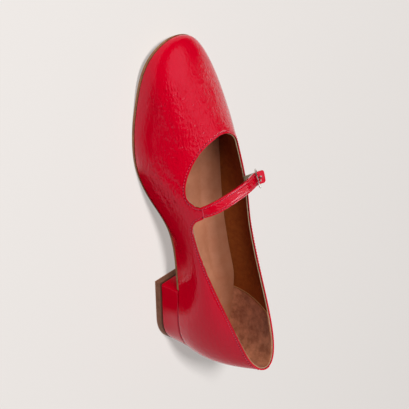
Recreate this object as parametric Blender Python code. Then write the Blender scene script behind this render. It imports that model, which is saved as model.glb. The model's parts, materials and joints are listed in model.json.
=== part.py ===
"""Square-toe ballet flat with an instep strap, right shoe, EU 38.

+Y points to the toe, +X to the outer side, where the buckle is, and +Z up. The tables are in millimetres.
The finished shoe is moved so that the middle of its footprint is the origin, with its sole on Z = 0.
"""

import math
from collections import namedtuple

import bmesh
import bpy
import numpy as np
from mathutils import Vector

MM = 0.001

# Driving sizes of the last, in millimetres. The tables below are drawn on the first three and graded to them.
DRAWN_LENGTH, DRAWN_BALL, DRAWN_HEEL = 240.0, 74.5, 25.0
LAST_LENGTH = 240.0
BALL_WIDTH = 74.5
HEEL_HEIGHT = 25.0
TOE_SPRING = 9.0

UPPER_WALL = 1.8
OUTSOLE_THICK = 3.0
INSOLE_THICK = 5.0
RIM_WIDTH = 9.0
GAP = 0.3

HEEL_BREAST = 57.0
LIFT_HEIGHT = 6.0
LIFT_HALF_WIDTH = 21.5
LIFT_BACK = 3.0
LIFT_ROUND = 23.5

STRAP_WIDTH = 9.0
STRAP_THICK = 2.0
STRAP_TURN = 12.0
STRAP_TILT = math.radians(12)
SEAM_EASE = 0.3
TIP_CHAMFER = 2.2
RING_OUTER = 14.6
RING_WIRE = 1.5
RING_CENTRE = (29.7, 133.8, 52.2)
RING_NORMAL = (0.66, 0.26, 0.70)
PRONG_WIRE = 1.3
KEEPER_WIDTH = 5.4
KEEPER_SLACK = 0.35
KEEPER_THICK = 1.1
KEEPER_FALL = 4.5

WALL_ROWS = 12
RIB_STEP = 5.6
HEEL_POINTS = 34
STRAP_RINGS = 46
BLOCK_WAIST = 0.06

# One row for each station round the shoe, from the back of the heel along the inner side to the toe and back.
# edge_x, edge_y: the feather edge, where the upper meets the sole. belly_out, belly_up: how the wall leaves it.
# lip_out, lip_down: the way the wall comes up to the topline. top_x, top_y, top_z: the topline.
Station = namedtuple("Station", "name edge_x edge_y belly_out belly_up lip_out lip_down top_x top_y top_z")
STATIONS = [
    Station("heel back", 0.0, 0.0, 4, 13, 5, 23, 2.0, 6.0, 82.5),
    Station("inner heel", -15.5, 8.5, 4, 14, 8, 21, -8.0, 10.0, 78.0),
    Station("inner seat", -24.0, 27.0, 5, 16, 9, 16, -16.0, 31.0, 72.0),
    Station("inner waist", -21.0, 62.0, 9, 18, 10, 10, -23.0, 63.0, 61.5),
    Station("inner arch", -17.0, 98.0, 10, 15, 4, 6, -29.0, 98.0, 49.5),
    Station("inner tab", -29.0, 128.5, 8, 12, 1, 5, -33.0, 128.0, 44.0),
    Station("inner joint", -38.5, 165.0, 5, 12, 6, 7, -31.0, 152.0, 40.5),
    Station("inner vamp", -35.5, 201.0, 4, 16, 16, 8, -18.0, 169.0, 42.0),
    Station("inner toe", -26.0, 232.0, 5, 14, 34, 12, -5.0, 174.0, 43.0),
    Station("toe", -6.5, 240.0, 5, 11, 40, 16, 2.0, 175.0, 43.0),
    Station("outer toe", 12.0, 234.0, 4, 7, 34, 22, 10.0, 173.0, 42.0),
    Station("outer vamp", 28.0, 203.0, 4, 9, 22, 20, 22.0, 165.0, 39.5),
    Station("outer joint", 36.0, 165.0, 6, 12, 11, 15, 27.0, 151.0, 39.5),
    Station("outer buckle", 35.0, 147.0, 6, 14, 8, 11, 28.3, 138.5, 41.5),
    Station("outer keeper", 33.0, 130.0, 6, 15, 5, 8, 30.5, 122.5, 42.5),
    Station("outer arch", 27.0, 98.0, 7, 16, 7, 6, 29.0, 98.0, 46.5),
    Station("outer waist", 25.0, 61.0, 6, 18, 9, 8, 24.5, 66.0, 58.0),
    Station("outer seat", 23.5, 27.0, 4, 16, 6, 13, 18.0, 36.5, 72.0),
    Station("outer heel", 15.5, 6.0, 3, 14, 5, 19, 11.0, 15.0, 80.5),
]
TOE_STATION = [row.name for row in STATIONS].index("toe")

# The feather edge's height: heel_share of the heel's rise and toe_share of the toe spring, above the outsole.
Profile = namedtuple("Profile", "along heel_share toe_share")
PROFILE = [
    Profile(-10, 1.00, 0.0),
    Profile(0, 1.00, 0.0),
    Profile(25, 0.98, 0.0),
    Profile(50, 0.95, 0.0),
    Profile(75, 0.70, 0.0),
    Profile(100, 0.42, 0.0),
    Profile(125, 0.17, 0.0),
    Profile(150, 0.02, 0.0),
    Profile(160, 0.00, 0.0),
    Profile(182, 0.00, 0.0),
    Profile(200, 0.00, 0.16),
    Profile(220, 0.00, 0.50),
    Profile(240, 0.00, 0.98),
    Profile(250, 0.00, 1.25),
]

# How far the sock's edge turns up the wall.
Rim = namedtuple("Rim", "along rise")
SOCK_RIM = [
    Rim(-5, 1.0),
    Rim(30, 2.0),
    Rim(60, 3.5),
    Rim(150, 3.5),
    Rim(200, 1.5),
    Rim(245, 0.3),
]

# The strap tab's outline, from its back root up to the seam and down to its front root: the place along the
# topline that it stands over, and the height above the topline.
TabEdge = namedtuple("TabEdge", "along height")
TAB_EDGE = [
    TabEdge(117.5, 0.0),
    TabEdge(120.3, 0.6),
    TabEdge(122.6, 1.8),
    TabEdge(124.7, 3.4),
    TabEdge(126.5, 5.4),
    TabEdge(127.8, 8.0),
    TabEdge(129.0, 10.8),
    TabEdge(131.1, 10.9),
    TabEdge(133.1, 10.9),
    TabEdge(135.1, 10.9),
    TabEdge(137.1, 10.8),
    TabEdge(137.1, 8.4),
    TabEdge(137.5, 6.0),
    TabEdge(138.6, 3.8),
    TabEdge(140.2, 2.0),
    TabEdge(142.4, 0.8),
    TabEdge(144.8, 0.2),
    TabEdge(147.4, 0.0),
]
TAB_LEAN = math.radians(8)
TAB_BEND = 24.0

# The middle line of the strap's outer face, after the tab's seam and as far as its tip.
StrapPoint = namedtuple("StrapPoint", "x y z")
STRAP_ROUTE = [
    StrapPoint(-25.2, 135.0, 56.8),
    StrapPoint(-18.0, 136.3, 59.3),
    StrapPoint(-4.5, 137.5, 60.4),
    StrapPoint(10.0, 137.3, 59.0),
    StrapPoint(20.5, 135.7, 55.4),
    StrapPoint(25.2, 134.9, 53.6),
    StrapPoint(29.7, 134.2, 52.8),
    StrapPoint(35.8, 133.6, 53.6),
]


def scaled_to_last(rows):
    """The stations as an array, graded from the drawn size to the last's own."""
    table = np.array([row[1:] for row in rows], float)
    table[:, [0, 6]] *= BALL_WIDTH / DRAWN_BALL
    table[:, [1, 7]] *= LAST_LENGTH / DRAWN_LENGTH
    table[:, 8] += HEEL_HEIGHT - DRAWN_HEEL
    return table


def smooth_steps(knots, values, at):
    """A curve through the knots that stays flat where two neighbours are equal."""
    knots, values = np.asarray(knots, float), np.asarray(values, float)
    slopes = np.diff(values) / np.diff(knots)
    tangents = np.zeros(len(knots))
    both = slopes[:-1] * slopes[1:] > 0
    tangents[1:-1][both] = 2 * (slopes[:-1] * slopes[1:])[both] / (slopes[:-1] + slopes[1:])[both]
    tangents[0], tangents[-1] = slopes[0], slopes[-1]
    cell = np.clip(np.searchsorted(knots, at, side="right") - 1, 0, len(knots) - 2)
    width = (knots[1:] - knots[:-1])[cell]
    t = np.clip((at - knots[cell]) / width, 0, 1)
    start, end = values[cell], values[cell + 1]
    lead = tangents[cell] * width
    trail = tangents[cell + 1] * width
    return (
        start * (2 * t**3 - 3 * t**2 + 1)
        + lead * (t**3 - 2 * t**2 + t)
        + end * (3 * t**2 - 2 * t**3)
        + trail * (t**3 - t**2)
    )


def edge_height(along):
    """Height of the feather edge above the floor at a place along the shoe, in millimetres."""
    knots = [row.along * LAST_LENGTH / DRAWN_LENGTH for row in PROFILE]
    rise = smooth_steps(knots, [row.heel_share for row in PROFILE], along)
    spring = smooth_steps(knots, [row.toe_share for row in PROFILE], along)
    return OUTSOLE_THICK + rise * (HEEL_HEIGHT - OUTSOLE_THICK) + spring * TOE_SPRING


class ClosedSpline:
    """A closed cubic spline through rows of values, measured by the distance round the first two columns."""

    def __init__(self, rows):
        loop = np.vstack([rows, rows[:1]])
        step = np.linalg.norm(np.diff(loop[:, :2], axis=0), axis=1)
        self.knots = np.concatenate([[0], np.cumsum(step)])
        self.rows = loop
        count = len(rows)
        system = np.zeros((count, count))
        right = np.zeros_like(rows)
        for i in range(count):
            before, after = step[i - 1], step[i]
            system[i, i - 1] += before
            system[i, i] += 2 * (before + after)
            system[i, (i + 1) % count] += after
            last = loop[i - 1 if i else count - 1]
            right[i] = 6 * ((loop[i + 1] - loop[i]) / after - (loop[i] - last) / before)
        bend = np.linalg.solve(system, right)
        self.bend = np.vstack([bend, bend[:1]])

    def at(self, place):
        place = np.mod(place, self.knots[-1])
        cell = np.clip(np.searchsorted(self.knots, place, side="right") - 1, 0, len(self.knots) - 2)
        width = (self.knots[cell + 1] - self.knots[cell])[..., None]
        a = (self.knots[cell + 1] - place)[..., None]
        b = (place - self.knots[cell])[..., None]
        cubic = (self.bend[cell] * a**3 + self.bend[cell + 1] * b**3) / (6 * width)
        lead = (self.rows[cell] / width - self.bend[cell] * width / 6) * a
        trail = (self.rows[cell + 1] / width - self.bend[cell + 1] * width / 6) * b
        return cubic + lead + trail


LAST = ClosedSpline(scaled_to_last(STATIONS))
LOOP = LAST.knots[-1]
TOE_PLACE = LAST.knots[TOE_STATION]


def outward(place):
    """Unit vectors in plan that point out of the feather edge."""
    ahead = LAST.at(place + 0.5)[..., :2] - LAST.at(place - 0.5)[..., :2]
    normal = np.stack([-ahead[..., 1], ahead[..., 0]], -1)
    normal /= np.linalg.norm(normal, axis=-1, keepdims=True)
    return np.concatenate([normal, np.zeros(normal.shape[:-1] + (1,))], -1)


def feather(place, offset=0.0):
    """Points of the feather edge, moved outward by the offset."""
    row = LAST.at(place)
    x, y = row[..., 0], row[..., 1]
    return np.stack([x, y, edge_height(y)], -1) + outward(place) * np.asarray(offset)[..., None]


def topline(place):
    return LAST.at(place)[..., 6:9]


def wall(place, share):
    """Points on the outside of the wall, at a share of its way from feather edge to topline."""
    row = LAST.at(place)
    up = np.array([0.0, 0.0, 1.0])
    out = outward(place)
    start, end = feather(place), topline(place)
    leave = start + out * row[..., 2:3] + up * row[..., 3:4]
    arrive = end + out * row[..., 4:5] - up * row[..., 5:6]
    t = np.asarray(share)[..., None]
    return (1 - t) ** 3 * start + 3 * t * (1 - t) ** 2 * leave + 3 * t**2 * (1 - t) * arrive + t**3 * end


def tab_rise(height):
    """How far the tab has moved from the topline at a height along its surface: it bends in over the foot."""
    lean = TAB_LEAN + height / TAB_BEND
    inward = TAB_BEND * (math.cos(TAB_LEAN) - np.cos(lean))
    up = TAB_BEND * (np.sin(lean) - math.sin(TAB_LEAN))
    return np.stack([inward, np.zeros_like(inward), up], -1)


def place_of_top(along):
    """The place round the loop where the inner topline is at a distance along the shoe."""
    places = np.linspace(LAST.knots[2], LAST.knots[7], 400)
    return np.interp(along, topline(places)[:, 1], places)


def place_of_edge(along, side):
    """The place round the loop where one side's feather edge is at a distance along the shoe."""
    first, last = (1, 8) if side == "inner" else (18, 10)
    places = np.linspace(LAST.knots[first], LAST.knots[last], 400)
    return float(np.interp(along, feather(places)[:, 1], places))


def rib_places():
    """Where each rib of the upper starts on the feather edge and ends on the topline, and its tab's height."""
    tab_along = np.array([row.along for row in TAB_EDGE]) * LAST_LENGTH / DRAWN_LENGTH
    tab_height = np.array([row.height for row in TAB_EDGE])
    tab_top = place_of_top(tab_along)
    tab_edge = np.linspace(tab_top[0], tab_top[-1], len(tab_top))
    before = np.linspace(0, tab_top[0], round(tab_top[0] / RIB_STEP), endpoint=False)
    rest = LOOP - tab_top[-1]
    after = np.linspace(tab_top[-1], LOOP, round(rest / RIB_STEP) + 1)[1:-1]
    edge = np.concatenate([before, tab_edge, after])
    top = np.concatenate([before, tab_top, after])
    height = np.concatenate([np.zeros(len(before)), tab_height, np.zeros(len(after))])
    return edge, top, height


def wall_grid(rows):
    """The outside of the upper, ribs by rows. A rib under the tab leans to it and runs up to its edge."""
    edge, top, height = rib_places()
    share = np.linspace(0, 1, rows)[None, :]
    place = edge[:, None] + (top - edge)[:, None] * share**2
    plain = wall(edge[:, None], np.linspace(0, 1, 30)[None, :])
    length = np.linalg.norm(np.diff(plain, axis=1), axis=2).sum(1)
    reach = share * (length + height)[:, None]
    on_wall = np.minimum(reach / length[:, None], 1)
    above = np.maximum(reach - length[:, None], 0)
    return wall(place, on_wall) + tab_rise(above)


def surface_normals(grid):
    """Unit normals of a grid that is closed along its first direction."""
    along = np.roll(grid, -1, 0) - np.roll(grid, 1, 0)
    up = np.gradient(grid, axis=1)
    normal = np.cross(up, along)
    return normal / np.linalg.norm(normal, axis=2, keepdims=True)


def material(name, colour, roughness, metallic=0.0):
    made = bpy.data.materials.new(name)
    made.use_nodes = True
    shader = made.node_tree.nodes["Principled BSDF"]
    shader.inputs["Base Color"].default_value = (*colour, 1)
    shader.inputs["Roughness"].default_value = roughness
    shader.inputs["Metallic"].default_value = metallic
    return made


def solid(name, points, faces, finish, sharp=40):
    """An object from points in millimetres and faces, closed, with its faces turned out."""
    mesh = bpy.data.meshes.new(name)
    mesh.from_pydata([Vector(p) * MM for p in np.asarray(points).tolist()], [], faces)
    shape = bmesh.new()
    shape.from_mesh(mesh)
    bmesh.ops.remove_doubles(shape, verts=shape.verts, dist=0.00001)
    bmesh.ops.recalc_face_normals(shape, faces=shape.faces)
    shape.to_mesh(mesh)
    shape.free()
    mesh.shade_smooth()
    mesh.set_sharp_from_angle(angle=math.radians(sharp))
    if finish:
        mesh.materials.append(finish)
    made = bpy.data.objects.new(name, mesh)
    bpy.context.scene.collection.objects.link(made)
    return made


def loft_faces(columns, rows, closed_columns=True, closed_rows=False):
    """Quads between neighbours in a grid whose point (i, j) is number i * rows + j."""
    faces = []
    for i in range(columns if closed_columns else columns - 1):
        for j in range(rows if closed_rows else rows - 1):
            across, up = (i + 1) % columns, (j + 1) % rows
            faces.append((i * rows + j, across * rows + j, across * rows + up, i * rows + up))
    return faces


def upper(finish):
    """The hollow wall: out up the outside, over the topline, down the inside and across the feather edge."""
    outside = wall_grid(WALL_ROWS)
    inside = outside - surface_normals(outside) * UPPER_WALL
    edge, _, _ = rib_places()
    inside[:, 0] = feather(edge, np.full(len(edge), -UPPER_WALL))
    ring = np.concatenate([outside, inside[:, ::-1]], axis=1)
    faces = loft_faces(len(ring), ring.shape[1], closed_rows=True)
    return solid("upper", ring.reshape(-1, 3), faces, finish)


def paired_places(back, count):
    """Places on the inner and outer side, in pairs from a distance along the shoe to the toe's tip."""
    inner = place_of_edge(back, "inner") if back > 0 else 0.0
    outer = place_of_edge(back, "outer") if back > 0 else LOOP
    share = np.linspace(0, 1, count)
    return inner + (TOE_PLACE - inner) * share, outer + (TOE_PLACE - outer) * share


def wall_inside(place, height, clearance):
    """Points on the inside of the wall, at heights above the feather edge, moved in by a clearance."""
    share = np.linspace(0, 0.6, 61)
    outside = wall(place[:, None], share[None, :])
    rise = outside[..., 2] - outside[:, :1, 2]
    found = np.array([np.interp(h, up, share) for h, up in zip(height, rise)])
    here, below = wall(place, found), wall(place, found - 0.02)
    out = outward(place)
    slope = ((here - below) * out).sum(1) / np.maximum(here[:, 2] - below[:, 2], 0.01)
    return here - out * ((UPPER_WALL + clearance) * np.sqrt(1 + slope**2))[:, None]


def sock_rim(along):
    knots = [row.along * LAST_LENGTH / DRAWN_LENGTH for row in SOCK_RIM]
    return smooth_steps(knots, [row.rise for row in SOCK_RIM], along)


def plate(name, back, count, columns, low_outline, high_outline, low, high, finish, rim=None):
    """A sole piece: strips across from inner to outer edge, between two heights above the feather edge."""
    inner, outer = paired_places(back, count)
    share = (1 - np.cos(np.linspace(0, math.pi, columns)))[None, :, None] / 2
    layers = []
    for outline, height in ((low_outline, low), (high_outline, high)):
        left, right = outline(inner), outline(outer)
        sheet = left[:, None] * (1 - share) + right[:, None] * share
        sheet[..., 2] = edge_height(sheet[..., 1]) + height
        layers.append(sheet)
    if rim:
        width = np.linalg.norm(right - left, axis=1)[:, None]
        inset = width * np.minimum(share, 1 - share)[..., 0]
        layers[1][..., 2] += rim(layers[1][..., 1]) * (1 - np.clip(inset / RIM_WIDTH, 0, 1)) ** 2
    points = np.concatenate([layer.reshape(-1, 3) for layer in layers])
    under = loft_faces(count, columns, closed_columns=False)
    size = count * columns
    faces = under + [tuple(size + k for k in face) for face in under]
    edge = [i * columns for i in range(count)] + [(count - 1) * columns + j for j in range(1, columns)]
    edge += [i * columns + columns - 1 for i in range(count - 2, -1, -1)] + list(range(columns - 2, 0, -1))
    for a, b in zip(edge, edge[1:] + edge[:1]):
        faces.append((a, b, size + b, size + a))
    return solid(name, points, faces, finish)


def outsole(finish):
    """Runs from the heel's breast to the toe, its edge sloping in to the floor."""

    def edge(place, waist, forepart):
        along = LAST.at(place)[..., 1]
        return feather(place, smooth_steps([0, 70, 130, 300], [waist, waist, forepart, forepart], along))

    return plate(
        "outsole",
        HEEL_BREAST + 2 * GAP,
        44,
        7,
        lambda place: edge(place, -1.2, -0.8),
        lambda place: edge(place, -0.3, 0.4),
        -OUTSOLE_THICK,
        -1.3 * GAP,
        finish,
    )


def insole(finish):
    """Board and padded sock, its edge turned a little up the wall."""

    def edge(place):
        along = LAST.at(place)[..., 1]
        return wall_inside(place, INSOLE_THICK + sock_rim(along), 1.6 * GAP)

    return plate(
        "insole",
        0.0,
        54,
        11,
        lambda place: feather(place, np.full(len(place), -UPPER_WALL - 1.6 * GAP)),
        edge,
        0.0,
        INSOLE_THICK,
        finish,
        rim=sock_rim,
    )


def d_outline(count, grow=0.0):
    """Outline of the heel at the floor, from the inner breast corner round the back to the outer one."""
    half, round_y = LIFT_HALF_WIDTH + grow, LIFT_BACK + LIFT_ROUND
    sides = 5
    along = np.linspace(HEEL_BREAST, round_y, sides, endpoint=False)
    inner = np.stack([np.full(sides, -half), along], -1)
    turn = np.linspace(0, math.pi, count - 2 * sides)
    back = np.stack([-half * np.cos(turn), round_y - (LIFT_ROUND + grow) * np.sin(turn)], -1)
    outer = inner[::-1] * [-1, 1]
    return np.concatenate([inner, back, outer])


def seat_outline(count, offset):
    """Outline of the heel seat, matched point by point to the outline at the floor."""
    start, end = place_of_edge(HEEL_BREAST, "inner"), place_of_edge(HEEL_BREAST, "outer") - LOOP
    floor = d_outline(count)
    run = np.concatenate([[0], np.cumsum(np.linalg.norm(np.diff(floor, axis=0), axis=1))])
    place = start + (end - start) * run / run[-1]
    return feather(place, np.full(count, offset))[:, :2]


def d_block(name, rings, finish):
    """A solid between D-shaped rings, each an outline and its heights, with flat-sided caps across it."""
    count = len(rings[0][0])
    points, faces = [], []
    for outline, heights in rings:
        points += [(x, y, z) for (x, y), z in zip(outline, heights)]
    for level in range(len(rings) - 1):
        for i in range(count):
            a, b = level * count + i, level * count + (i + 1) % count
            faces.append((a, b, b + count, a + count))
    top = (len(rings) - 1) * count
    for i in range(count // 2 - 1):
        j = count - 1 - i
        faces.append((i, i + 1, j - 1, j))
        faces.append((top + i, top + i + 1, top + j - 1, top + j))
    return solid(name, points, faces, finish)


def heel_block(finish):
    """Covered block: flat breast, rounded back, a little waisted between the lift and the seat."""
    floor, seat = d_outline(HEEL_POINTS, -0.1), seat_outline(HEEL_POINTS, -0.4)
    bottom = LIFT_HEIGHT + GAP
    rings = []
    for share in (0.0, 0.3, 0.65, 1.0):
        outline = floor + (seat - floor) * share
        outline[:, 0] *= 1 - BLOCK_WAIST * share * (1 - share)
        heights = bottom + (edge_height(outline[:, 1]) - GAP - bottom) * share
        rings.append((outline, heights))
    return d_block("heel_block", rings, finish)


def heel_lift(finish):
    """Top piece under the block, its lower edge eased where it meets the floor."""
    rings = [(d_outline(HEEL_POINTS, -0.4), [0.0] * HEEL_POINTS)]
    rings += [(d_outline(HEEL_POINTS), [z] * HEEL_POINTS) for z in (0.6, LIFT_HEIGHT)]
    return d_block("heel_lift", rings, finish)


def open_curve(points, count):
    """Evenly spaced points on a smooth curve through the given ones, and its length."""
    points = np.array(points, float)
    padded = np.vstack([2 * points[0] - points[1], points, 2 * points[-1] - points[-2]])
    fine = []
    for a, b, c, d in zip(padded, padded[1:], padded[2:], padded[3:]):
        for t in np.linspace(0, 1, 24, endpoint=False):
            square = (2 * a - 5 * b + 4 * c - d) * t**2
            cube = (3 * b - a - 3 * c + d) * t**3
            fine.append(0.5 * (2 * b + (c - a) * t + square + cube))
    fine = np.array(fine + [points[-1]])
    run = np.concatenate([[0], np.cumsum(np.linalg.norm(np.diff(fine, axis=0), axis=1))])
    at = np.linspace(0, run[-1], count)
    return np.stack([np.interp(at, run, fine[:, k]) for k in range(3)], -1), run[-1]


def seam_frame():
    """The tab's seam: its middle, the way across it, and the way the tab's surface runs there."""
    front, back = TAB_EDGE[10], TAB_EDGE[6]
    ends = []
    for row in (front, back):
        ends.append(topline(place_of_top(np.array(row.along))) + tab_rise(np.array(row.height)))
    across = Vector(ends[0] - ends[1]).normalized()
    lean = TAB_LEAN + front.height / TAB_BEND
    ahead = Vector((math.sin(lean), 0.15, math.cos(lean)))
    ahead = (ahead - across * ahead.dot(across)).normalized()
    middle = Vector((ends[0] + ends[1]) / 2)
    return middle, across, ahead


def ring_frame():
    """The ring's centre, its normal, the way down its face to the outer side, and the way along the shoe."""
    normal = Vector(RING_NORMAL).normalized()
    down = Vector((1, 0, 0))
    down = (down - normal * down.dot(normal)).normalized()
    return Vector(RING_CENTRE), normal, down, normal.cross(down)


def strap(finish):
    """A band along the route, in line with the tab at its start and with the ring at its chamfered tip."""
    seam, seam_across, seam_ahead = seam_frame()
    _, _, _, along_ring = ring_frame()
    route = [seam + seam_ahead * 1.6 * GAP] + [row[:] for row in STRAP_ROUTE]
    middle, length = open_curve(route, STRAP_RINGS)
    ahead = np.gradient(middle, axis=0)
    tilted = Vector((0, math.cos(STRAP_TILT), -math.sin(STRAP_TILT)))
    shares = (-1, -0.5, 0, 0.5, 1)
    points = []
    for i, point in enumerate(middle):
        run = length * i / (STRAP_RINGS - 1)
        cut = max(run - (length - TIP_CHAMFER), 0)
        way = seam_ahead if i == 0 else Vector(ahead[i]).normalized()
        level = min(run / STRAP_TURN, 1.0)
        swing = min(max(run - (length - 2.5 * STRAP_TURN), 0) / (1.5 * STRAP_TURN), 1.0)
        across = seam_across.lerp(tilted, level).lerp(along_ring, swing)
        across = (across - way * across.dot(way)).normalized()
        inward = way.cross(across)
        if inward.z > 0:
            inward.negate()
        half = STRAP_WIDTH / 2 - SEAM_EASE * (1 - level) - cut
        outer = [Vector(point) + across * half * share for share in shares]
        points += outer + [p + inward * STRAP_THICK for p in reversed(outer)]
    size = 2 * len(shares)
    faces = []
    for i in range(STRAP_RINGS - 1):
        for j in range(size):
            a, b = i * size + j, i * size + (j + 1) % size
            faces.append((a, b, b + size, a + size))
    for start in (0, (STRAP_RINGS - 1) * size):
        faces += [tuple(start + k for k in (j, j + 1, size - 2 - j, size - 1 - j)) for j in range(4)]
    band_object = solid("strap", points, faces, finish, sharp=50)
    hole = band_object.modifiers.new("prong hole", "BOOLEAN")
    hole.object = prong_cutter()
    return band_object


def tube(name, path, radius, finish, sides=12):
    """A round rod along a path, with flat ends."""
    points, faces = [], []
    side = None
    for i, point in enumerate(path):
        way = (path[min(i + 1, len(path) - 1)] - path[max(i - 1, 0)]).normalized()
        if side is None:
            side = way.orthogonal()
        side = (side - way * side.dot(way)).normalized()
        other = way.cross(side)
        for k in range(sides):
            turn = 2 * math.pi * k / sides
            points.append(point + (side * math.cos(turn) + other * math.sin(turn)) * radius)
    for i in range(len(path) - 1):
        for k in range(sides):
            a, b = i * sides + k, i * sides + (k + 1) % sides
            faces.append((a, b, b + sides, a + sides))
    last = (len(path) - 1) * sides
    faces += [tuple(range(sides)), tuple(range(last, last + sides))]
    return solid(name, points, faces, finish)


def buckle_ring(finish):
    centre, normal, down, along = ring_frame()
    wire = RING_WIRE / 2
    radius = RING_OUTER / 2 - wire
    around, sides = 44, 12
    points = []
    for i in range(around):
        turn = 2 * math.pi * i / around
        spoke = down * math.cos(turn) + along * math.sin(turn)
        for k in range(sides):
            roll = 2 * math.pi * k / sides
            out, up = wire * math.cos(roll), wire * math.sin(roll)
            points.append(centre + spoke * (radius + out) + normal * up)
    return solid("buckle_ring", points, loft_faces(around, sides, closed_rows=True), finish)


def outer_wire():
    """The middle of the ring's wire where it is furthest to the outer side."""
    centre, _, down, _ = ring_frame()
    return centre + down * (RING_OUTER - RING_WIRE) / 2


def hook_path(start_turn, end_turn, reach, count, slack=0.0):
    """Points on a turn round the ring's outer wire, from one angle in degrees to another."""
    _, normal, down, _ = ring_frame()
    middle = outer_wire() - down * slack
    path = []
    for i in range(count):
        turn = math.radians(start_turn + (end_turn - start_turn) * i / (count - 1))
        path.append(middle + (down * math.cos(turn) + normal * math.sin(turn)) * (reach + slack))
    return path


def buckle_prong(finish):
    """Hooks round the ring's outer wire, comes up through the strap's hole and rests on the inner wire."""
    _, normal, down, _ = ring_frame()
    reach = RING_WIRE / 2 + GAP + PRONG_WIRE / 2
    hook = hook_path(-150, 90, reach, 12)
    rest = hook[-1] - down * (RING_OUTER - RING_WIRE)
    run = [hook[-1].lerp(rest, share) for share in (0.25, 0.5, 0.75, 1.0)]
    tip = rest - down * 1.5 - normal * 0.2
    return tube("buckle_prong", hook + run + [tip], PRONG_WIRE / 2, finish, sides=10)


def hidden_cutter(name, path, radius):
    """A rod that cuts others and is not itself part of the shoe."""
    cutter = tube(name, path, radius, None)
    cutter.hide_render = True
    cutter.display_type = "WIRE"
    return cutter


def prong_cutter():
    """Along the prong where it goes through the strap, wide enough to leave a clear hole."""
    centre, normal, down, _ = ring_frame()
    middle = centre + normal * (RING_WIRE / 2 + GAP + PRONG_WIRE / 2)
    path = [middle + down * 5, middle, middle - down * 5]
    return hidden_cutter("prong_hole", path, PRONG_WIRE / 2 + 2 * GAP)


def keeper_cutter():
    """Round the ring's outer wire beside the prong, so that the keeper leaves it a notch."""
    _, _, _, along = ring_frame()
    half = PRONG_WIRE / 2 + 1.5 * GAP
    return hidden_cutter("keeper_notch", [outer_wire() + along * half * k for k in (-1, 0, 1)], 3.4)


def band(name, path, across, width, thick, finish):
    """A flat strip of even thickness along a path that stays in one plane."""
    points = []
    for i, point in enumerate(path):
        way = (path[min(i + 1, len(path) - 1)] - path[max(i - 1, 0)]).normalized()
        lift = way.cross(across).normalized()
        for up, side in ((-1, -1), (-1, 1), (1, 1), (1, -1)):
            points.append(point + lift * up * thick / 2 + across * side * width / 2)
    faces = []
    for i in range(len(path) - 1):
        for k in range(4):
            a, b = i * 4 + k, i * 4 + (k + 1) % 4
            faces.append((a, b, b + 4, a + 4))
    last = (len(path) - 1) * 4
    faces += [(0, 1, 2, 3), (last, last + 1, last + 2, last + 3)]
    return solid(name, points, faces, finish)


def buckle_keeper(finish):
    """Elastic from inside the outer topline, over its edge and round the ring's outer wire."""
    _, _, _, along = ring_frame()
    places = np.linspace(LAST.knots[13], LAST.knots[15], 200)
    beside = np.abs((topline(places) - np.array(outer_wire())) @ np.array(along))
    lip = Vector(topline(places[np.argmin(beside)]))
    clear = GAP + KEEPER_THICK / 2
    over = lip + Vector((-UPPER_WALL / 2, 0, clear + 1.2))
    inside = lip + Vector((-UPPER_WALL - clear - 0.7, 0, -0.3))
    fall = (Vector((0, 0, -1)) + along * along.z).normalized()
    leg = [over.lerp(inside, 0.6) + Vector((0, 0, 0.35)), inside]
    leg += [inside + fall * share * KEEPER_FALL for share in (0.5, 1.0)]
    hook = hook_path(195, -18, RING_WIRE / 2 + clear, 14, KEEPER_SLACK)
    path = hook + [hook[-1].lerp(over, 0.5), over] + leg
    path = [p - along * (p - outer_wire()).dot(along) for p in path]
    strip = band("buckle_keeper", path, along, KEEPER_WIDTH, KEEPER_THICK, finish)
    notch = strip.modifiers.new("prong notch", "BOOLEAN")
    notch.object = keeper_cutter()
    return strip


def centre_on_floor(pieces):
    """Puts every piece under one empty, which brings the middle of the footprint to the origin."""
    corners = np.array([vertex.co[:] for piece in pieces for vertex in piece.data.vertices])
    low, high = corners.min(0), corners.max(0)
    root = bpy.data.objects.new("right_shoe", None)
    bpy.context.scene.collection.objects.link(root)
    for piece in bpy.data.objects:
        if piece is not root:
            piece.parent = root
    root.location = (-(low[0] + high[0]) / 2, -(low[1] + high[1]) / 2, -low[2])


def main():
    for old in list(bpy.data.objects):
        bpy.data.objects.remove(old, do_unlink=True)
    patent = material("red patent", (0.55, 0.0, 0.01), 0.12)
    pieces = [
        upper(patent),
        outsole(material("tan leather edge", (0.16, 0.08, 0.04), 0.5)),
        heel_block(patent),
        heel_lift(material("brown top piece", (0.10, 0.05, 0.03), 0.5)),
        insole(material("brown sock leather", (0.22, 0.09, 0.04), 0.5)),
        strap(patent),
        buckle_ring(material("polished wire", (0.6, 0.6, 0.58), 0.2, 1.0)),
        buckle_prong(material("polished prong", (0.6, 0.6, 0.58), 0.2, 1.0)),
        buckle_keeper(material("cream elastic", (0.55, 0.5, 0.38), 0.8)),
    ]
    centre_on_floor(pieces)


main()
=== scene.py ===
import json
import math

import bmesh
import bpy
from mathutils import Matrix, Vector
from mathutils.bvhtree import BVHTree
from mathutils.kdtree import KDTree

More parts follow.
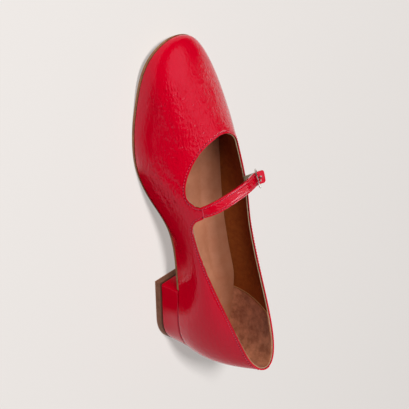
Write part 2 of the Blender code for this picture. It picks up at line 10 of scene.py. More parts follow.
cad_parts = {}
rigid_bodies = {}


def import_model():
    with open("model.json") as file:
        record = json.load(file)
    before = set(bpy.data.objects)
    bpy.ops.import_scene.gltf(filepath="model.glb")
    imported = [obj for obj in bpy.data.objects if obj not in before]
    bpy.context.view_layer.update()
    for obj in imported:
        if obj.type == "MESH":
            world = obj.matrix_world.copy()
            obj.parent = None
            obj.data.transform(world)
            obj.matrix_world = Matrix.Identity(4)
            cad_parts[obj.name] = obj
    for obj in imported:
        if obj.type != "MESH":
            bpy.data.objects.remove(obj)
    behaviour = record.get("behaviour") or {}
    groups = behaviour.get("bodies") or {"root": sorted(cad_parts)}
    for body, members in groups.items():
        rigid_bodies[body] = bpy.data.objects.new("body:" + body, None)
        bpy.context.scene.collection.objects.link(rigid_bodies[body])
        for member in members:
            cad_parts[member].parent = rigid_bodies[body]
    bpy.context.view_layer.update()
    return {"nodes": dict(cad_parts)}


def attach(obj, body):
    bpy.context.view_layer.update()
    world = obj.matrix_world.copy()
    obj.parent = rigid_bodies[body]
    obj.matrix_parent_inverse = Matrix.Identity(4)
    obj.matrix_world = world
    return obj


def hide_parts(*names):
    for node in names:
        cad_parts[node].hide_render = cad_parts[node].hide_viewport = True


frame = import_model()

mm = 0.001


def hexColour(text):
    # sRGB hex to the linear colour that the shaders want
    parts = [int(text[i:i + 2], 16) / 255 for i in (0, 2, 4)]
    return [c / 12.92 if c <= 0.04045 else ((c + 0.055) / 1.055) ** 2.4 for c in parts] + [1]


def addNode(tree, kind, links=None, **settings):
    # a setting goes to the node itself if it has one of that name, or else to the input so called
    node = tree.nodes.new(kind)
    for name, value in settings.items():
        if hasattr(node, name):
            setattr(node, name, value)
        else:
            label = name.replace("_", " ").lower()
            [s for s in node.inputs if s.name.lower() == label and s.enabled][0].default_value = value
    for place, source in (links or {}).items():
        tree.links.new(source, node.inputs[place])
    return node


def newMaterial(name, **settings):
    made = bpy.data.materials.new(name)
    made.use_nodes = True
    shader = made.node_tree.nodes["Principled BSDF"]
    for label, value in settings.items():
        shader.inputs[label.replace("_", " ")].default_value = value
    return made, made.node_tree, shader


def deselectEverything():
    if bpy.context.mode != "OBJECT":
        bpy.ops.object.mode_set(mode="OBJECT")
    bpy.ops.object.select_all(action="DESELECT")


def pick(piece):
    deselectEverything()
    piece.select_set(True)
    bpy.context.view_layer.objects.active = piece


def editAll(piece, mode="VERT"):
    pick(piece)
    bpy.ops.object.mode_set(mode="EDIT")
    bpy.ops.mesh.select_mode(type=mode)
    bpy.ops.mesh.select_all(action="SELECT")


def objectMode():
    bpy.ops.object.mode_set(mode="OBJECT")


def copyOfNode(nodeName, pieceName):
    # a piece with its own mesh, its loose triangles merged and paired into quads
    piece = bpy.data.objects.new(pieceName, frame["nodes"][nodeName].data.copy())
    piece.data.name = pieceName
    piece.data.materials.clear()
    bpy.context.scene.collection.objects.link(piece)
    editAll(piece)
    bpy.ops.mesh.customdata_custom_splitnormals_clear()
    bpy.ops.mesh.remove_doubles(threshold=0.01 * mm)
    bpy.ops.mesh.normals_make_consistent(inside=False)
    pairTriangles()
    objectMode()
    return piece


def pairTriangles():
    bpy.ops.mesh.tris_convert_to_quads(
        face_threshold=math.radians(70), shape_threshold=math.radians(120), topology_influence=1.5)


def skinOfNode(nodeName, pieceName, touch):
    # one side of a node's wall: the face nearest the touch point and all that joins it round no sharp edge
    piece = copyOfNode(nodeName, pieceName)
    editAll(piece, "EDGE")
    bpy.ops.mesh.quads_convert_to_tris()
    bpy.ops.mesh.select_all(action="DESELECT")
    bpy.ops.mesh.edges_select_sharp(sharpness=math.radians(50))
    bpy.ops.mesh.mark_seam()
    bpy.ops.mesh.select_all(action="DESELECT")
    bpy.ops.mesh.select_mode(type="FACE")
    objectMode()
    nearest = piece.closest_point_on_mesh(Vector(touch) * mm)[3]
    piece.data.polygons[nearest].select = True
    bpy.ops.object.mode_set(mode="EDIT")
    bpy.ops.mesh.select_linked(delimit={"SEAM"})
    bpy.ops.mesh.select_all(action="INVERT")
    bpy.ops.mesh.delete(type="FACE")
    bpy.ops.mesh.select_all(action="SELECT")
    bpy.ops.mesh.mark_seam(clear=True)
    pairTriangles()
    objectMode()
    return piece


def addModifier(piece, kind, **settings):
    pick(piece)
    made = piece.modifiers.new(kind.lower(), kind)
    for name, value in settings.items():
        setattr(made, name, value)
    bpy.ops.object.modifier_apply(modifier=made.name)


def subdivide(piece, levels):
    addModifier(piece, "SUBSURF", levels=levels, render_levels=levels)


def roundEdges(piece, radius, segments=2, sharp=50, upright=False):
    editAll(piece, "EDGE")
    bpy.ops.mesh.select_all(action="DESELECT")
    bpy.ops.mesh.edges_select_sharp(sharpness=math.radians(sharp))
    if upright:
        # only those that run up and down
        objectMode()
        for edge in piece.data.edges:
            a, b = (piece.data.vertices[i].co for i in edge.vertices)
            edge.select = edge.select and abs(a.z - b.z) > 0.8 * (a - b).length
        bpy.ops.object.mode_set(mode="EDIT")
    bpy.ops.mesh.bevel(offset=radius * mm, segments=segments, profile=0.5, affect="EDGES",
                       clamp_overlap=True)
    objectMode()


def smoothShade(piece):
    pick(piece)
    bpy.ops.object.shade_smooth()


def openLoops(piece):
    # the open edges of a sheet as closed runs of vertex numbers, the highest run first
    sheet = bmesh.new()
    sheet.from_mesh(piece.data)
    loops, seen = [], set()
    for first in sheet.edges:
        if not first.is_boundary or first in seen:
            continue
        seen.add(first)
        start, at = first.verts
        loop = [start.index]
        while at is not start:
            loop.append(at.index)
            edge = [e for e in at.link_edges if e.is_boundary and e not in seen][0]
            seen.add(edge)
            at = edge.other_vert(at)
        loops.append(loop)
    sheet.verts.ensure_lookup_table()
    heights = [sum(sheet.verts[n].co.z for n in loop) / len(loop) for loop in loops]
    sheet.free()
    return [loops[i] for i in sorted(range(len(loops)), key=heights.__getitem__, reverse=True)]


def treeOfPoints(points):
    tree = KDTree(len(points))
    for i, point in enumerate(points):
        tree.insert(point, i)
    tree.balance()
    return tree


def surfaceOf(piece):
    mesh = piece.data
    return BVHTree.FromPolygons([v.co.copy() for v in mesh.vertices], [p.vertices[:] for p in mesh.polygons])


def relax(piece, times, keep=(), full=5.0):
    # evens out the mesh, less and less near the points to keep
    group = piece.vertex_groups.new(name="loose")
    kept = treeOfPoints(keep) if keep else None
    for v in piece.data.vertices:
        away = kept.find(v.co)[2] / mm if keep else full
        group.add([v.index], min(away / full, 1.0), "REPLACE")
    addModifier(piece, "SMOOTH", factor=0.5, iterations=times, vertex_group="loose")
    piece.vertex_groups.clear()


def stepsAlong(points, pitch, closed=False, start=0.0):
    # evenly spaced places along a run of points, each with the way that the run goes there
    run = [p.copy() for p in points] + ([points[0].copy()] if closed else [])
    reach = [0.0]
    for a, b in zip(run, run[1:]):
        reach.append(reach[-1] + (b - a).length)
    count = max(round((reach[-1] - start) / pitch), 1)
    places, k = [], 0
    for i in range(count if closed else count + 1):
        at = start + (reach[-1] - start) * i / count
        while k < len(run) - 2 and reach[k + 1] < at:
            k += 1
        share = (at - reach[k]) / max(reach[k + 1] - reach[k], 1e-9)
        ahead, behind = run[min(k + 2, len(run) - 1)], run[max(k - 1, 0)]
        places.append((run[k].lerp(run[k + 1], share), (ahead - behind).normalized()))
    return places


def smoothRoute(points, steps=24):
    # a smooth curve through the given points
    run = [2 * points[0] - points[1]] + list(points) + [2 * points[-1] - points[-2]]
    fine = []
    for a, b, c, d in zip(run, run[1:], run[2:], run[3:]):
        for i in range(steps):
            t = i / steps
            square, cube = (2 * a - 5 * b + 4 * c - d) * t * t, (3 * b - a - 3 * c + d) * t ** 3
            fine.append(0.5 * (2 * b + (c - a) * t + square + cube))
    return fine + [points[-1].copy()]


def settle(piece, finishes, slotName, *nodes):
    if finishes:
        piece.data.materials.clear()
        for finish in finishes if isinstance(finishes, (list, tuple)) else [finishes]:
            piece.data.materials.append(finish)
    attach(piece, "root")
    if nodes:
        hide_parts(*nodes)
    print("piece", piece.name, len(piece.data.polygons), "faces")
    return piece


view = {
    "place": (-0.7573, 0.5559, 0.6785),
    "aim": (0.0, 0.0, 0.03),
    "roll": 111.2,        # degrees, the toe ends up at the top
    "lens": 148.0,        # mm on a 36 mm sensor
}

camera = bpy.data.objects.new("camera", bpy.data.cameras.new("camera"))
bpy.context.scene.collection.objects.link(camera)
bpy.context.scene.camera = camera
camera.location = view["place"]
looking = (Vector(view["aim"]) - Vector(view["place"])).to_track_quat("-Z", "Y").to_matrix()
camera.rotation_euler = (looking @ Matrix.Rotation(math.radians(view["roll"]), 3, "Z")).to_euler()
camera.data.lens = view["lens"]
camera.data.sensor_width = 36
camera.data.clip_start, camera.data.clip_end = 0.01, 100

studio = {
    "backdropColour": "e9e4e0",
    "floorColour": "898684",
    "floorGlow": 0.50,      # how much of its light comes through the table from below
    # name: azimuth, elevation, distance m, width m, height m, brightness, and what it lights
    "lamps": {
        "zenith": (0, 90, 1.4, 1.1, 1.1, 0.90, "shoe"),
        "toeHigh": (120, 60, 1.4, 0.6, 0.6, 5.0, "shoe"),
        "toeLow": (103, 30, 1.4, 0.8, 0.6, 6.4, "shoe"),
        "heelHigh": (300, 60, 1.4, 1.1, 1.1, 1.22, "shoe"),
        "heelLow": (301, 30, 1.4, 1.7, 1.1, 1.48, "shoe"),
        "tableKey": (127, 50, 4.0, 0.6, 0.6, 300, "table"),
    },
    # what gloss sees round the shoe: azimuth, elevation, degrees to the middle of its soft edge,
    # half the width of that edge, and brightness
    "softboxes": [
        (46, 61, 28, 5, 1.25),
        (-101, 5, 58, 3, 0.85),
        (-22, 40, 15, 8, 0.9),
        (-33, 36, 6, 3, 10.0),
        (-34, 17, 8, 5, 5.0),
    ],
    "darkRoom": 0.01,
    # dark cards on the floor, seen only by gloss, beside and under the inner side, that put painted shade
    # into what the gloss sees of the floor there: x, y, width, depth in mm
    "cards": [(-140, 60, 190, 130), (-20, -12, 88, 112), (-42, -54, 84, 92)],
    "cardFade": (0.38, 0.5),    # where a card's fade starts and ends, in shares of its width from the middle
    "cardLift": 0.3,            # mm above the floor
}

world = bpy.data.worlds.new("studio")
world.use_nodes = True
bpy.context.scene.world = world
world.cycles_visibility.diffuse = False
bpy.context.scene.view_settings.view_transform = "Standard"
tree = world.node_tree
direction = addNode(tree, "ShaderNodeTexCoord").outputs["Generated"]
glow = None
for azimuth, elevation, edge, soft, brightness in studio["softboxes"]:
    a, e = math.radians(azimuth), math.radians(elevation)
    toBox = addNode(tree, "ShaderNodeVectorMath", {0: direction}, operation="DOT_PRODUCT")
    toBox.inputs[1].default_value = (math.cos(a) * math.cos(e), math.sin(a) * math.cos(e), math.sin(e))
    box = addNode(tree, "ShaderNodeMapRange", {"Value": toBox.outputs["Value"]},
                  interpolation_type="SMOOTHSTEP", To_Min=0.0, To_Max=brightness,
                  From_Min=math.cos(math.radians(edge + soft)), From_Max=math.cos(math.radians(edge - soft)))
    if glow:
        brighter = addNode(tree, "ShaderNodeMath", {0: glow, 1: box.outputs[0]}, operation="MAXIMUM")
        glow = brighter.outputs[0]
    else:
        glow = box.outputs[0]
room = addNode(tree, "ShaderNodeMath", {0: glow}, operation="MAXIMUM")
room.inputs[1].default_value = studio["darkRoom"]
seen = addNode(tree, "ShaderNodeLightPath").outputs["Is Camera Ray"]
backdrop = addNode(tree, "ShaderNodeMix", {0: seen, 6: room.outputs[0]}, data_type="RGBA")
backdrop.inputs[7].default_value = hexColour(studio["backdropColour"])
tree.links.new(backdrop.outputs[2], tree.nodes["Background"].inputs["Color"])

lamps = {}
for name, (azimuth, elevation, distance, width, height, brightness, onto) in studio["lamps"].items():
    data = bpy.data.lights.new(name, "AREA")
    data.shape = "RECTANGLE"
    data.size, data.size_y = width, height
    data.energy = brightness * math.pi * width * height
    lamp = bpy.data.objects.new(name, data)
    bpy.context.scene.collection.objects.link(lamp)
    a, e = math.radians(azimuth), math.radians(elevation)
    lamp.location = Vector((math.cos(a) * math.cos(e), math.sin(a) * math.cos(e), math.sin(e))) * distance
    lamp.rotation_euler = (-lamp.location).to_track_quat("-Z", "Y").to_euler()
    lamp.visible_glossy = False
    lamps[name] = lamp

deselectEverything()
bpy.ops.mesh.primitive_plane_add(size=8, location=(0, 0, 0))
floor = bpy.context.object
floor.name = "floor"
# matt paper on a light table: no gloss at all, and lit from below too, so its shadows stay pale
floorPaint, _, _ = newMaterial(
    "matt paper on a light table", Base_Color=hexColour(studio["floorColour"]), Roughness=0.95,
    Specular_IOR_Level=0.0, Emission_Color=hexColour(studio["backdropColour"]),
    Emission_Strength=studio["floorGlow"])
floor.data.materials.append(floorPaint)
# one lamp lights the table alone and the others all but the table, as flags and grids would do it
for onto, state in (("shoe", "EXCLUDE"), ("table", "INCLUDE")):
    flag = bpy.data.collections.new("flag for the " + onto)
    flag.objects.link(floor)
    flag.collection_objects[0].light_linking.link_state = state
    for name, settings in studio["lamps"].items():
        if settings[-1] == onto:
            lamps[name].light_linking.receiver_collection = flag
# black card, faded at its edges so that its reflection is soft
blackCard, tree, shader = newMaterial("black card", Base_Color=hexColour("000000"), Specular_IOR_Level=0.0)
centred = addNode(tree, "ShaderNodeTexCoord").outputs["Object"]
fromMiddle = addNode(tree, "ShaderNodeVectorMath", {0: centred}, operation="LENGTH")
fade = addNode(tree, "ShaderNodeMapRange", {"Value": fromMiddle.outputs["Value"]},
               interpolation_type="SMOOTHSTEP", To_Min=1.0, To_Max=0.0,
               From_Min=studio["cardFade"][0], From_Max=studio["cardFade"][1])
tree.links.new(fade.outputs[0], shader.inputs["Alpha"])
for x, y, width, depth in studio["cards"]:
    deselectEverything()
    bpy.ops.mesh.primitive_plane_add(size=1, location=(x * mm, y * mm, studio["cardLift"] * mm))
    card = bpy.context.object
    card.name = "blackCard"
    card.scale = (width * mm, depth * mm, 1)
    card.data.materials.append(blackCard)
    card.visible_camera = card.visible_diffuse = card.visible_shadow = card.visible_transmission = False
print("studio ready")


patent = {
    "red": "d90024",
    "deepRed": "cf0020",
    # painted shade in the needle holes between the stitches
    "stitchHoleShade": "74001a",
    # the crinkle is drawn coarser than the real one, which would be too fine to show
    "crinkleAcross": 1.35,   # mm between the fine ridges
    "crinkleAlong": 5.5,    # mm that a ridge runs before it fades
    "crinkleDepth": 0.82,   # mm
    "pebble": 2.4,          # mm across the rounder swellings between them
    "pebbleDepth": 0.4,
    # where the hide crinkled most as it was pulled over the last: x, y, z and how far that goes on, in mm
    "rough": [(8, 80, 32, 32), (-26, 86, 29, 18), (-20, 62, 36, 20), (-35, 32, 32, 27)],
    "calm": 0.3,           # how strong it is everywhere else
    "filmGloss": 0.05,      # roughness
    "filmTint": (1.0, 0.7, 1.0, 1.0),
    "seamFromEdge": 1.5,    # mm from a folded edge to its row of stitches
    "stitchPitch": 2.1,
    "rowWidth": 0.9,        # mm that the leather dips on each side of a row of stitches
    "rowDepth": 0.22,
}


def patentLeather(name, alongAxis=1, sewn=False, share=1.0):
    # crinkled patent leather: a dyed hide under a thick clear film, so a sharp wet gloss over a deep
    # even red, broken up by fine ridges that run with the length of the shoe
    made, tree, shader = newMaterial(
        name, Roughness=patent["filmGloss"], IOR=1.35, Specular_Tint=patent["filmTint"])
    place = addNode(tree, "ShaderNodeTexCoord").outputs["Object"]
    scale = [1 / (patent["crinkleAcross"] * mm)] * 3
    scale[alongAxis] = 1 / (patent["crinkleAlong"] * mm)
    wander = addNode(tree, "ShaderNodeTexNoise", {"Vector": place}, Scale=70.0, Detail=1.0)
    spread = addNode(tree, "ShaderNodeVectorMath", {0: wander.outputs["Color"]}, operation="SCALE",
                     Scale=0.004)
    moved = addNode(tree, "ShaderNodeVectorMath", {0: place, 1: spread.outputs[0]}, operation="ADD")
    stretched = addNode(tree, "ShaderNodeMapping", {"Vector": moved.outputs[0]}, Scale=scale)
    ridges = addNode(tree, "ShaderNodeTexNoise", {"Vector": stretched.outputs[0]}, Scale=1.0, Detail=2.0)
    pebbles = addNode(tree, "ShaderNodeTexNoise", {"Vector": moved.outputs[0]},
                      Scale=1 / (patent["pebble"] * mm), Detail=1.0)
    # more crinkled in some places than in others
    strength = None
    for x, y, z, reach in patent["rough"]:
        away = addNode(tree, "ShaderNodeVectorMath", {0: place}, operation="DISTANCE")
        away.inputs[1].default_value = (x * mm, y * mm, z * mm)
        here = addNode(tree, "ShaderNodeMapRange", {"Value": away.outputs["Value"]},
                       interpolation_type="SMOOTHSTEP", From_Min=0.3 * reach * mm, From_Max=1.2 * reach * mm,
                       To_Min=1.0, To_Max=patent["calm"])
        if strength:
            here = addNode(tree, "ShaderNodeMath", {0: strength, 1: here.outputs[0]}, operation="MAXIMUM")
        strength = here.outputs[0]
    fine = addNode(tree, "ShaderNodeBump", {"Height": ridges.outputs["Fac"], "Strength": strength},
                   Distance=patent["crinkleDepth"] * share * mm)
    rounder = addNode(tree, "ShaderNodeBump",
                      {"Height": pebbles.outputs["Fac"], "Normal": fine.outputs[0], "Strength": strength},
                      Distance=patent["pebbleDepth"] * share * mm)
    normal = rounder
    clouds = addNode(tree, "ShaderNodeTexNoise", {"Vector": place}, Scale=45.0, Detail=3.0)
    tone = addNode(tree, "ShaderNodeMix", {0: clouds.outputs["Fac"]}, data_type="RGBA")
    tone.inputs[6].default_value = hexColour(patent["deepRed"])
    tone.inputs[7].default_value = hexColour(patent["red"])
    colour = tone.outputs[2]
    if sewn:
        fromEdge = addNode(tree, "ShaderNodeAttribute", attribute_name="fromEdge").outputs["Fac"]
        offRow = addNode(tree, "ShaderNodeMath", {0: fromEdge}, operation="SUBTRACT")
        offRow.inputs[1].default_value = patent["seamFromEdge"]
        offRow = addNode(tree, "ShaderNodeMath", {0: offRow.outputs[0]}, operation="ABSOLUTE")
        trough = addNode(tree, "ShaderNodeMapRange", {"Value": offRow.outputs[0]},
                         interpolation_type="SMOOTHSTEP", From_Max=patent["rowWidth"])
        pulled = addNode(tree, "ShaderNodeBump", {"Height": trough.outputs[0], "Normal": rounder.outputs[0]},
                         Distance=patent["rowDepth"] * mm)
        normal = pulled
        # painted shade: the leather on the row is darkened between the stitches, where the needle holes lie
        # in shade
        along = addNode(tree, "ShaderNodeAttribute", attribute_name="alongSeam").outputs["Fac"]
        turn = addNode(tree, "ShaderNodeMath", {0: along}, operation="PINGPONG")
        turn.inputs[1].default_value = 0.5
        betweenStitches = addNode(tree, "ShaderNodeMapRange", {"Value": turn.outputs[0]},
                                  From_Min=0.30, From_Max=0.42)
        onRow = addNode(tree, "ShaderNodeMapRange", {"Value": offRow.outputs[0]}, From_Min=0.25,
                        From_Max=0.5, To_Min=1.0, To_Max=0.0)
        hole = addNode(tree, "ShaderNodeMath", {0: betweenStitches.outputs[0], 1: onRow.outputs[0]},
                       operation="MULTIPLY")
        holed = addNode(tree, "ShaderNodeMix", {0: hole.outputs[0], 6: colour}, data_type="RGBA")
        holed.inputs[7].default_value = hexColour(patent["stitchHoleShade"])
        colour = holed.outputs[2]
    tree.links.new(colour, shader.inputs["Base Color"])
    tree.links.new(normal.outputs[0], shader.inputs["Normal"])
    return made


def grainedLeather(name, light, dark, grain, depth, tones, **settings):
    # two tones in soft clouds, with a fine grain on the surface
    made, tree, shader = newMaterial(name, **settings)
    place = addNode(tree, "ShaderNodeTexCoord").outputs["Object"]
    clouds = addNode(tree, "ShaderNodeTexNoise", {"Vector": place}, Scale=1 / (tones * mm), Detail=6.0,
                     Roughness=0.62)
    spread = addNode(tree, "ShaderNodeMapRange", {"Value": clouds.outputs["Fac"]}, From_Min=0.35,
                     From_Max=0.65)
    tone = addNode(tree, "ShaderNodeMix", {0: spread.outputs[0]}, data_type="RGBA")
    tone.inputs[6].default_value = hexColour(dark)
    tone.inputs[7].default_value = hexColour(light)
    tree.links.new(tone.outputs[2], shader.inputs["Base Color"])
    pores = addNode(tree, "ShaderNodeTexNoise", {"Vector": place}, Scale=1 / (grain * mm), Detail=2.0)
    bump = addNode(tree, "ShaderNodeBump", {"Height": pores.outputs["Fac"]}, Distance=depth * mm * 4)
    tree.links.new(bump.outputs[0], shader.inputs["Normal"])
    return made


upperPatent = patentLeather("crinkled patent leather", sewn=True)
heelPatent = patentLeather("crinkled patent heel cover", alongAxis=2, share=0.25)
strapPatent = patentLeather("crinkled patent strap", alongAxis=0, sewn=True, share=1.3)
# smooth calf sock: finished and a little waxy, so a broad satin light lies along it
sockLeather = grainedLeather("calf sock leather", "ca8868", "be7a5a", 0.8, 0.01, 9, Roughness=0.45,
                             Specular_IOR_Level=0.2)
tree = sockLeather.node_tree
shader = tree.nodes["Principled BSDF"]
# painted shade: the sock's colour goes to dark brown as its shade attribute rises
shade = addNode(tree, "ShaderNodeAttribute", attribute_name="shade").outputs["Fac"]
plain = shader.inputs["Base Color"].links[0].from_socket
shaded = addNode(tree, "ShaderNodeMix", {0: shade, 6: plain}, data_type="RGBA")
shaded.inputs[7].default_value = hexColour("6e3818")
tree.links.new(shaded.outputs[2], shader.inputs["Base Color"])
# pigskin lining: thin, drum dyed and unpolished, so it stays dark and dull
liningLeather = grainedLeather("pigskin lining", "974e20", "84401a", 0.7, 0.03, 3, Roughness=0.75,
                               Specular_IOR_Level=0.2)
liningEdge = grainedLeather("raw lining edge", "c4a88a", "ac9072", 0.5, 0.02, 2, Roughness=0.9,
                            Specular_IOR_Level=0.1)
# split suede: the nap stands up and scatters light, mottled where it has been brushed
suede = grainedLeather("heel grip suede", "cc8560", "965636", 0.35, 0.05, 6.5, Roughness=0.95,
                       Specular_IOR_Level=0.1, Sheen_Weight=0.25, Sheen_Roughness=0.5)
soleLeather = grainedLeather("outsole leather", "a67650", "8a5e3e", 0.6, 0.02, 4, Roughness=0.6,
                             Specular_IOR_Level=0.15)
# stacked top piece: a worn pale bottom edge, a brown rubber lift and a darker leather rand next to the cover
topLayers = [
    # mm above the floor between which a layer goes from its start share to its end share
    {"low": 0.8, "high": 1.1, "start": 1.0, "end": 0.0, "colour": "b07c62"},    # pale bottom edge
    {"low": 4.8, "high": 5.0, "start": 0.0, "end": 1.0, "colour": "6a4232"},    # rand
]
topPiece = grainedLeather("stacked top piece", "946650", "80543f", 0.5, 0.02, 3, Roughness=0.6,
                          Specular_IOR_Level=0.15)
tree = topPiece.node_tree
shader = tree.nodes["Principled BSDF"]
body = shader.inputs["Base Color"].links[0].from_socket
place = addNode(tree, "ShaderNodeTexCoord").outputs["Object"]
height = addNode(tree, "ShaderNodeSeparateXYZ", {0: place}).outputs["Z"]
for row in topLayers:
    layer = addNode(tree, "ShaderNodeMapRange", {"Value": height}, From_Min=row["low"] * mm,
                    From_Max=row["high"] * mm, To_Min=row["start"], To_Max=row["end"])
    layered = addNode(tree, "ShaderNodeMix", {0: layer.outputs[0], 6: body}, data_type="RGBA")
    layered.inputs[7].default_value = hexColour(row["colour"])
    body = layered.outputs[2]
tree.links.new(body, shader.inputs["Base Color"])
# thread for the stitches; its lighter red also gives the tab's folded end a painted highlight
thread = grainedLeather("bonded nylon thread", "dc3c54", "c42844", 0.3, 0.02, 1, Roughness=0.4)
brownThread = grainedLeather("brown thread", "a87248", "8d5c38", 0.3, 0.02, 1, Roughness=0.5)
# nickel plated steel wire: polished, so a mirror that is mostly dark with a few white glints
wire, _, _ = newMaterial("nickel plated wire", Base_Color=hexColour("d2cfc8"), Metallic=1.0, Roughness=0.14)
elastic = grainedLeather("woven elastic", "a39a80", "8f866c", 0.5, 0.05, 1, Roughness=0.85)
print("materials ready")


upper = {
    "leatherThick": 1.1,    # mm
    "liningThick": 0.65,
    "liningDrop": 0.3,      # mm that the lining's cut edge lies below the fold
    "foldRound": 0.5,       # mm, the fold at the topline and the turn at the sole
    "outerTouch": (60, 0, 20),     # mm, points that find the wall's two sides
    "innerTouch": (20, -20, 30),
    "seamMiddle": (-28.7, 13.6, 53.1),   # where the tab ends and the strap starts
    "seamAhead": (0.55, 0.17, 0.82),
    "seamAcross": (-0.05, 0.98, -0.17),
    "seamReach": 7.0,       # mm round the seam's middle that count as the tab's cut end
    "relaxTimes": 24,
    "foldReach": 2.5,       # how far from its middle a fold is worked out, in widths
    "foldFade": 0.3,        # share of its length over which a fold fades at each end
    # folds, all in mm: the places that each one runs through, its width and its depth
    "folds": [
        {"run": [(-29, 105, 20), (-31, 90, 25), (-31, 75, 28), (-31, 58, 31)], "width": 1.5, "depth": 0.22},
        {"run": [(-25, 106, 22), (-27, 86, 29), (-27, 67, 33)], "width": 1.9, "depth": -0.2},
        {"run": [(-38, 47, 21), (-37, 39, 28), (-34, 31, 36), (-32, 25, 41)], "width": 1.5, "depth": 0.3},
        {"run": [(-37, 52, 24), (-34, 42, 31), (-32, 34, 38)], "width": 1.7, "depth": -0.25},
        {"run": [(-39, 40, 19), (-37, 31, 27), (-35, 23, 34), (-33, 15, 40)], "width": 1.7, "depth": -0.25},
        {"run": [(-39, 33, 16), (-37, 24, 23), (-35, 13, 28), (-32, 0, 32)], "width": 1.7, "depth": 0.3},
        {"run": [(5, 98, 27), (6, 82, 32), (6, 65, 38)], "width": 1.9, "depth": 0.2},
        {"run": [(-2, 102, 26), (-1, 86, 32), (0, 70, 38)], "width": 1.9, "depth": -0.15},
    ],
}
seamMiddle = Vector(upper["seamMiddle"]) * mm
seamAhead = Vector(upper["seamAhead"]).normalized()

leather = skinOfNode("upper", "upperLeather", upper["outerTouch"])
subdivide(leather, 2)
loops = openLoops(leather)
topline = [leather.data.vertices[i].co.copy() for i in loops[0]]
feather = [leather.data.vertices[i].co.copy() for i in loops[1]]
relax(leather, upper["relaxTimes"], topline + feather)

# soft folds that run on with the crinkle: a trough, or a ridge where the depth is below nought
spots = treeOfPoints([v.co for v in leather.data.vertices])
outward = [v.normal.copy() for v in leather.data.vertices]
shift = {}
for fold in upper["folds"]:
    run = smoothRoute([Vector(p) * mm for p in fold["run"]])
    line = treeOfPoints(run)
    reach = upper["foldReach"] * fold["width"] * mm
    near = {i for place in run for _, i, _ in spots.find_range(place, reach)}
    for i in near:
        _, nearest, away = line.find(leather.data.vertices[i].co)
        toEnd = min(nearest, len(run) - 1 - nearest) / len(run)
        fade = min(toEnd / upper["foldFade"], 1.0)
        sink = fold["depth"] * fade * math.exp(-(away / (fold["width"] * mm)) ** 2)
        shift[i] = shift.get(i, 0.0) + sink * mm
for i, sink in shift.items():
    leather.data.vertices[i].co -= outward[i] * sink
outerSurface = surfaceOf(leather)
print("topline", len(topline), "points")


def pastSeam(spot, back):
    # true for what lies at the tab's cut end, or less than so many mm behind it
    off = spot - seamMiddle
    return off.length < upper["seamReach"] * mm and off.dot(seamAhead) > -back * mm


def markSeams(piece, rows):
    # two measures on each vertex that the material's stitch row reads: mm from the edge, and turns along it
    points, measures = [], []
    for row, closed in rows:
        reach, run = 0.0, row + ([row[0]] if closed else [])
        total = sum((b - a).length for a, b in zip(run, run[1:]))
        pitch = total / round(total / (patent["stitchPitch"] * mm))
        for a, b in zip(run, run[1:]):
            points.append(a)
            measures.append(reach / pitch)
            reach += (b - a).length
    tree = treeOfPoints(points)
    fromEdge = piece.data.attributes.new("fromEdge", "FLOAT", "POINT")
    alongSeam = piece.data.attributes.new("alongSeam", "FLOAT", "POINT")
    for v in piece.data.vertices:
        _, nearest, away = tree.find(v.co)
        fromEdge.data[v.index].value = away / mm
        alongSeam.data[v.index].value = measures[nearest]


seamAcross = Vector(upper["seamAcross"]).normalized()
tabEnd = sorted((p for p in topline if pastSeam(p, 0.5)), key=lambda p: p.dot(seamAcross))
addModifier(leather, "SOLIDIFY", thickness=upper["leatherThick"] * mm, offset=-1, thickness_clamp=1.0)
roundEdges(leather, upper["foldRound"], 3)
markSeams(leather, [([p for p in topline if not pastSeam(p, 0.8)], True)])
smoothShade(leather)
settle(leather, upperPatent, "patent_upper", "upper")


def cordAlong(pieceName, points, radius, finish, slotName):
    # a round cord with closed ends
    curve = bpy.data.curves.new(pieceName, "CURVE")
    curve.dimensions = "3D"
    curve.bevel_depth = radius * mm
    curve.bevel_resolution = 2
    curve.use_fill_caps = True
    spline = curve.splines.new("POLY")
    spline.points.add(len(points) - 1)
    for point, place in zip(spline.points, points):
        point.co = (*place, 1)
    cord = bpy.data.objects.new(pieceName, curve)
    bpy.context.scene.collection.objects.link(cord)
    pick(cord)
    bpy.ops.object.convert(target="MESH")
    smoothShade(cord)
    return settle(cord, finish, slotName)


# the tab's folded cut end: a thin cord in the lighter thread finish, a painted highlight along the fold
tabFold = {
    "radius": 0.26,                   # mm
    "offset": (-0.05, 0.01, 0.02),    # mm that it stands off the tab's end
}
foldOffset = Vector(tabFold["offset"]) * mm
cordAlong("tabFold", [p + foldOffset for p in tabEnd[1:-1]], tabFold["radius"], thread, "patent_upper")


def pullEdge(piece, loop, distance):
    # moves an open edge back along the sheet
    sheet = bmesh.new()
    sheet.from_mesh(piece.data)
    sheet.verts.ensure_lookup_table()
    edge = set(loop)
    moves = {}
    for i in loop:
        v = sheet.verts[i]
        inner = [e.other_vert(v) for e in v.link_edges if e.other_vert(v).index not in edge]
        if inner:
            way = sum(((n.co - v.co) for n in inner), Vector()) / len(inner)
            moves[i] = way * min(distance * mm / way.length, 0.8)
    for i, move in moves.items():
        sheet.verts[i].co += move
    sheet.to_mesh(piece.data)
    sheet.free()


lining = skinOfNode("upper", "lining", upper["innerTouch"])
subdivide(lining, 2)
loops = openLoops(lining)
liningTop = [lining.data.vertices[i].co.copy() for i in loops[0]]
liningLow = [lining.data.vertices[i].co.copy() for i in loops[1]]
relax(lining, upper["relaxTimes"], liningTop + liningLow)
pullEdge(lining, loops[0], upper["liningDrop"])

